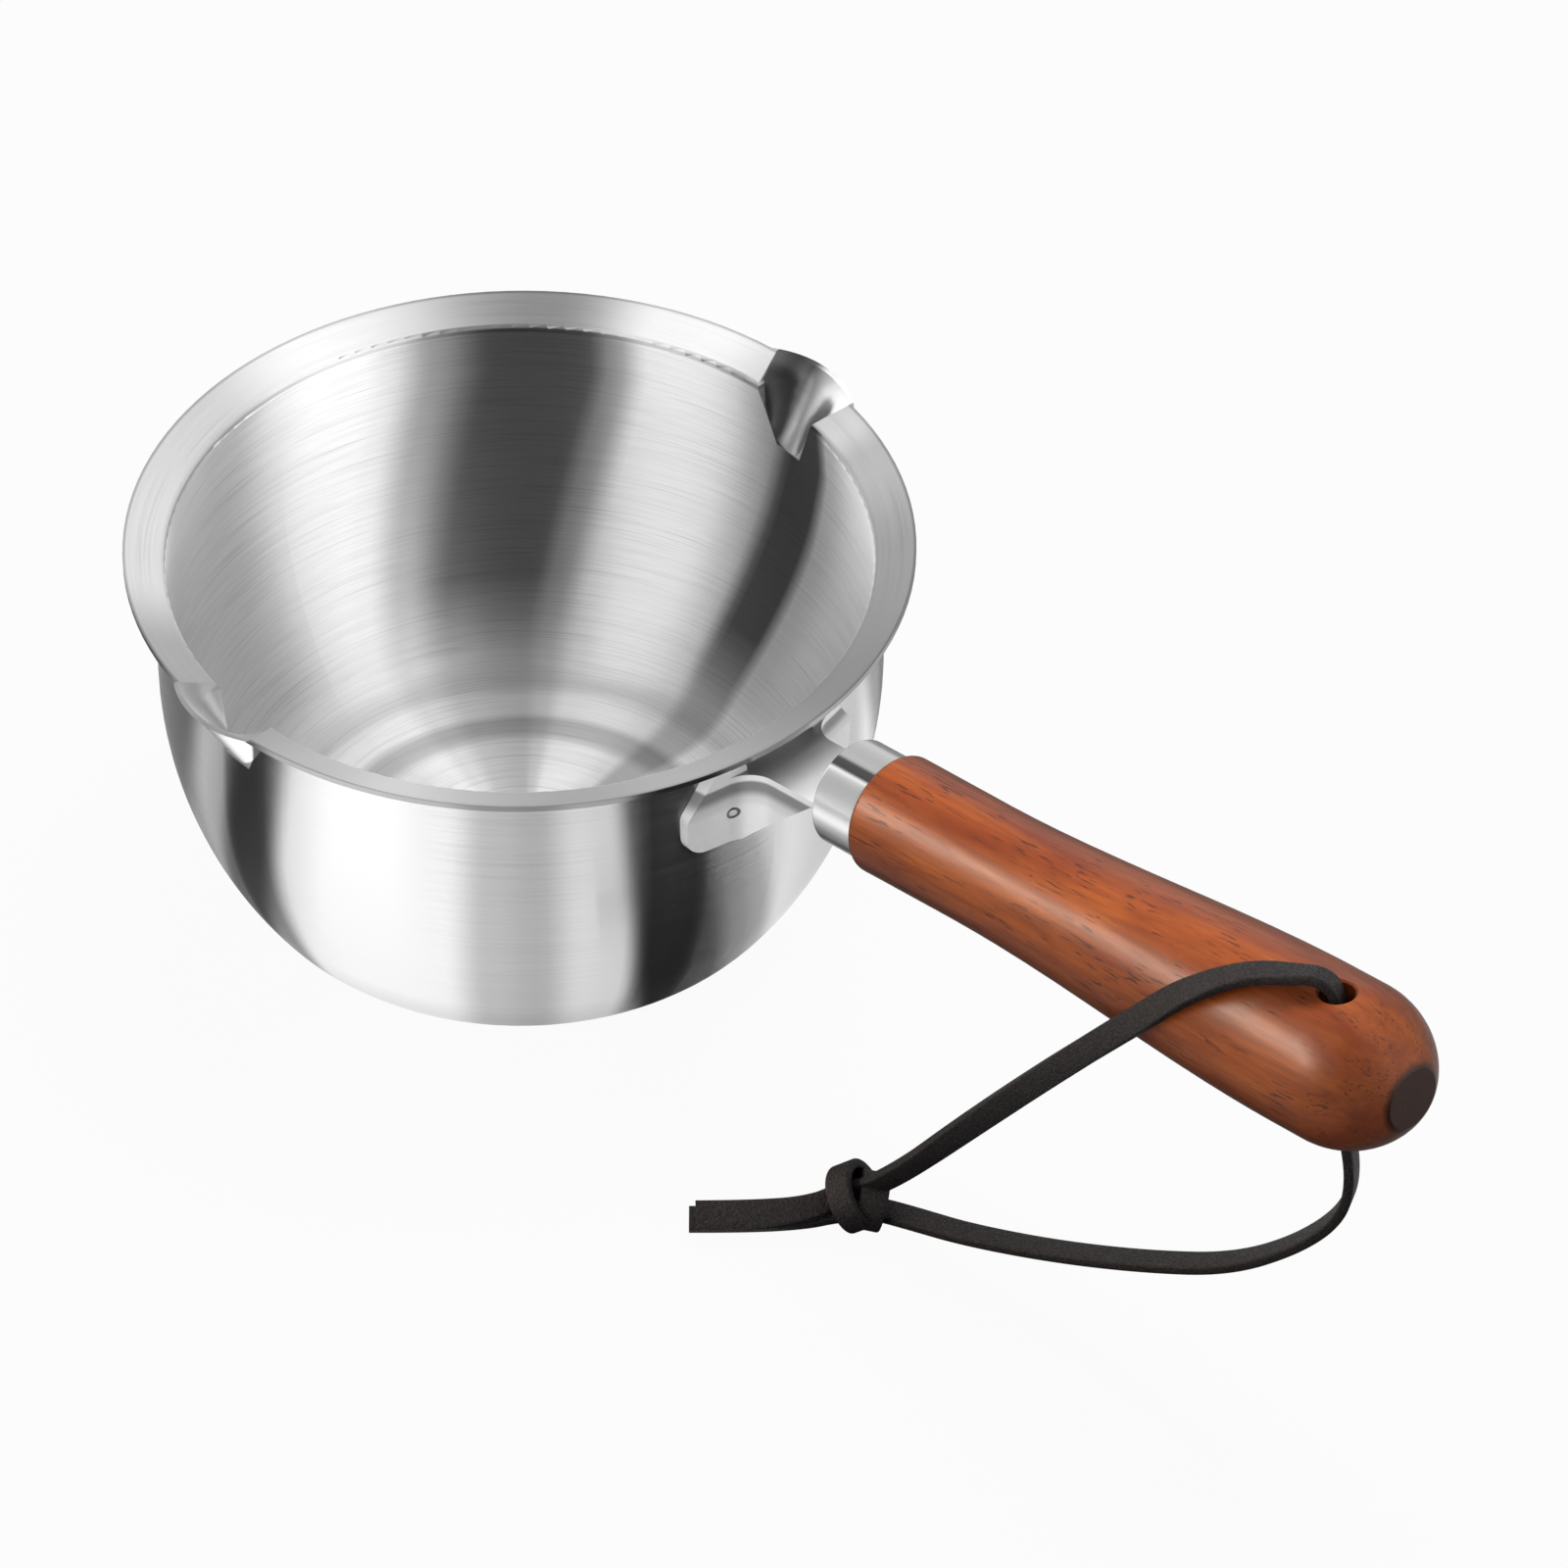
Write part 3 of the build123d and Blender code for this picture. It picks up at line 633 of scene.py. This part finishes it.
def strip_skin(points, facing, widths):
    """The corners and faces of a flat strip that follows the points, with both its ends closed."""
    section = strip_corners()
    around = len(section)
    corners, faces = [], []
    for number, point in enumerate(points):
        along = number / (len(points) - 1) * (len(facing) - 1)
        before = min(int(along), len(facing) - 2)
        part = along - before
        onward = points[min(number + 1, len(points) - 1)] - points[max(number - 1, 0)]
        onward.normalize()
        face = Vector(facing[before]).lerp(Vector(facing[before + 1]), part)
        face = (face - onward * face.dot(onward)).normalized()
        side = onward.cross(face)
        width = widths[before] * (1 - part) + widths[before + 1] * part
        for across, out, more_across, more_out in section:
            reach_side = across * width / 2 + more_across
            reach_out = out * lace_thickness / 2 + more_out
            corners.append(point + side * reach_side + face * reach_out)
    for ring in range(len(points) - 1):
        first, last = ring * around, (ring + 1) * around
        for spot in range(around):
            after = (spot + 1) % around
            faces.append((first + spot, first + after, last + after, last + spot))
    faces.append(tuple(range(around)))
    faces.append(tuple(range((len(points) - 1) * around, len(points) * around)))
    return corners, faces


def cut_strip(name, route, facing, widths):
    """A flat strip along the route. Each point of the route has the way that its flat side faces."""
    points = follow_route(route)
    corners, faces = strip_skin(points, facing, widths)
    mesh = bpy.data.meshes.new(name)
    mesh.from_pydata(corners, [], faces)
    strip = bpy.data.objects.new(name, mesh)
    bpy.context.collection.objects.link(strip)
    bpy.ops.object.select_all(action="DESELECT")
    strip.select_set(True)
    bpy.context.view_layer.objects.active = strip
    bpy.ops.object.mode_set(mode="EDIT")
    bpy.ops.mesh.select_all(action="SELECT")
    bpy.ops.mesh.normals_make_consistent(inside=False)
    bpy.ops.object.mode_set(mode="OBJECT")
    bpy.ops.object.shade_smooth_by_angle(angle=radians(50))
    strip.data.materials.append(lace_leather)
    length = sum((after - before).length for before, after in zip(points, points[1:]))
    return strip, points, length


upper_route = [
    (196.9, 0.0, 84.7), (195.9, 0.1, 92.1), (195.0, 0.1, 99.0), (192.2, -1.6, 101.6),
    (187.9, -4.2, 100.6), (183.4, -6.1, 99.2), (179.2, -8.8, 97.1), (175.4, -11.7, 94.2),
    (171.6, -13.9, 90.4), (167.2, -15.9, 84.6), (158.8, -16.9, 73.6), (146.0, -17.9, 56.4),
    (131.5, -19.5, 36.2), (119.6, -21.0, 19.2), (111.3, -22.5, 9.2), (108.3, -25.2, 7.6),
    (105.0, -31.6, 5.9), (99.0, -38.8, 5.2), (92.3, -45.7, 4.9),
]
upper_facing = [
    (0.86, 0.50, 0.11), (0.86, 0.50, 0.11), (0.71, 0.59, 0.38), (0.03, 0.30, 0.95),
    (-0.25, -0.03, 0.97), (-0.30, -0.15, 0.94), (-0.32, -0.34, 0.89), (-0.30, -0.57, 0.77),
    (-0.24, -0.80, 0.55), (-0.18, -0.94, 0.30), (-0.06, -0.99, 0.11), (0.14, -0.99, -0.04),
    (0.39, -0.90, -0.20), (0.57, -0.74, -0.35), (0.60, -0.73, -0.32), (0.69, -0.62, 0.37),
    (0.55, -0.49, 0.68), (0.53, -0.52, 0.67), (0.52, -0.53, 0.67),
]
upper_widths = [lace_width] * 15 + [0.0041, 0.0041, 0.0048, 0.0053]
lower_route = [
    (196.9, 0.0, 84.7), (198.5, -0.16, 72.86), (201.3, 0.3, 61.0), (199.4, 0.4, 50.4),
    (191.3, -1.3, 38.5), (179.5, -4.2, 27.3), (164.0, -8.0, 19.3), (147.0, -12.2, 12.3),
    (130.0, -16.4, 7.0), (119.0, -19.0, 4.9), (112.0, -21.6, 4.3), (107.6, -26.4, 4.0),
    (103.6, -30.4, 2.3), (97.2, -37.8, 2.0), (90.0, -45.1, 1.9),
]
lower_facing = [
    (-0.86, -0.50, -0.11), (-0.86, -0.50, -0.11), (-0.87, -0.45, 0.0), (-0.88, -0.38, 0.2),
    (-0.75, -0.25, 0.6), (-0.5, -0.15, 0.85), (-0.3, -0.05, 0.95), (-0.2, 0.0, 1.0),
    (-0.15, 0.0, 1.0), (0.0, 0.0, 1.0), (0.0, 0.0, 1.0), (0.1, -0.1, 1.0),
    (0.2, -0.2, 0.96), (0.2, -0.2, 0.96), (0.2, -0.2, 0.96),
]
lower_widths = [lace_width] * len(lower_route)
upper_lace, upper_line, upper_length = cut_strip("upper_lace", upper_route, upper_facing, upper_widths)
lower_lace, lower_line, lower_length = cut_strip("lower_lace", lower_route, lower_facing, lower_widths)

# Knot: both halves of the lace tied in one overhand knot. The last turn is wrapped over the others
# at a slant, and a tighter turn shows behind it on the side of the loop.
knot_middle = Vector((109.0, -24.0, 6.6))
knot_along = Vector((0.743, 0.669, 0.0))
knot_back = Vector((-0.669, 0.743, 0.0))


def tie_turn(name, lean, shift, reach, turns, width):
    """One turn of the strip round the knot. Turns are (degrees from the top, share of reach, shift)."""
    axis = (knot_along * cos(radians(lean)) + Vector((0, 0, 1)) * sin(radians(lean))).normalized()
    rise = axis.cross(knot_back)
    middle = knot_middle + axis * shift
    route, facing = [], []
    for degrees, share, slide in turns:
        out = rise * cos(radians(degrees)) - knot_back * sin(radians(degrees))
        route.append(tuple(middle + out * reach * share + axis * slide))
        facing.append(tuple(out))
    return cut_strip(name, route, facing, [width] * len(route))[0]


wrap_turns = [
    (-110, 0.35, 2.5), (-80, 0.8, 1.6), (-40, 1, 0.8), (0, 1.02, 0.3), (40, 1.02, 0), (80, 1, 0),
    (120, 1, 0), (160, 1, 0), (200, 0.98, -0.4), (245, 0.9, -1.0), (290, 0.7, -1.4), (340, 0.45, -1.2),
]
behind_turns = [
    (-120, 0.5, 0), (-70, 0.9, 0), (-25, 1, 0), (20, 1, 0), (65, 1, 0), (110, 1, 0), (155, 1, 0),
    (200, 0.95, 0), (245, 0.8, 0), (290, 0.4, 0),
]
knot_wrap = tie_turn("knot_wrap", lean=30, shift=0, reach=5.6, turns=wrap_turns, width=0.0046)
knot_turn = tie_turn("knot_turn", lean=-12, shift=3.2, reach=4.8, turns=behind_turns, width=0.005)
for strip in (upper_lace, lower_lace, knot_wrap, knot_turn):
    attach(strip, "hang_loop")
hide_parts("lace_upper", "lace_tail_over")
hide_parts("lace_lower", "lace_tail_under")
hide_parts("lace_knot")

# Strip lamp: a long narrow warm lamp at the left of the camera, flagged so that it falls on the
# handle and the lace alone. It only draws the long soft highlight on the lacquer.
def flag_lamp(lamp, lit_pieces):
    """The lamp falls on these pieces and on nothing else."""
    receivers = bpy.data.collections.new(lamp.name + "_receivers")
    for piece in lit_pieces:
        receivers.objects.link(piece)
    lamp.light_linking.receiver_collection = receivers


strip_lamp = soft_box("strip_lamp", (-0.53, -0.88, 0.57), (0.9, 0.13), 38.0)
strip_lamp.data.color = (1.0, 0.84, 0.7)
strip_lamp.visible_glossy = True
strip_lamp.visible_diffuse = False
flag_lamp(strip_lamp, (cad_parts["handle_grip"], upper_lace, lower_lace, knot_wrap, knot_turn))

# Lug lamp: a small soft box in front of the handle. It is flagged so that it lifts the satin steel of
# the bracket and the ferrule alone.
lug_lamp = soft_box("lug_lamp", (0.55, -0.5, 0.4), (0.3, 0.3), 3.0)
flag_lamp(lug_lamp, (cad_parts["handle_bracket"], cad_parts["ferrule"]))
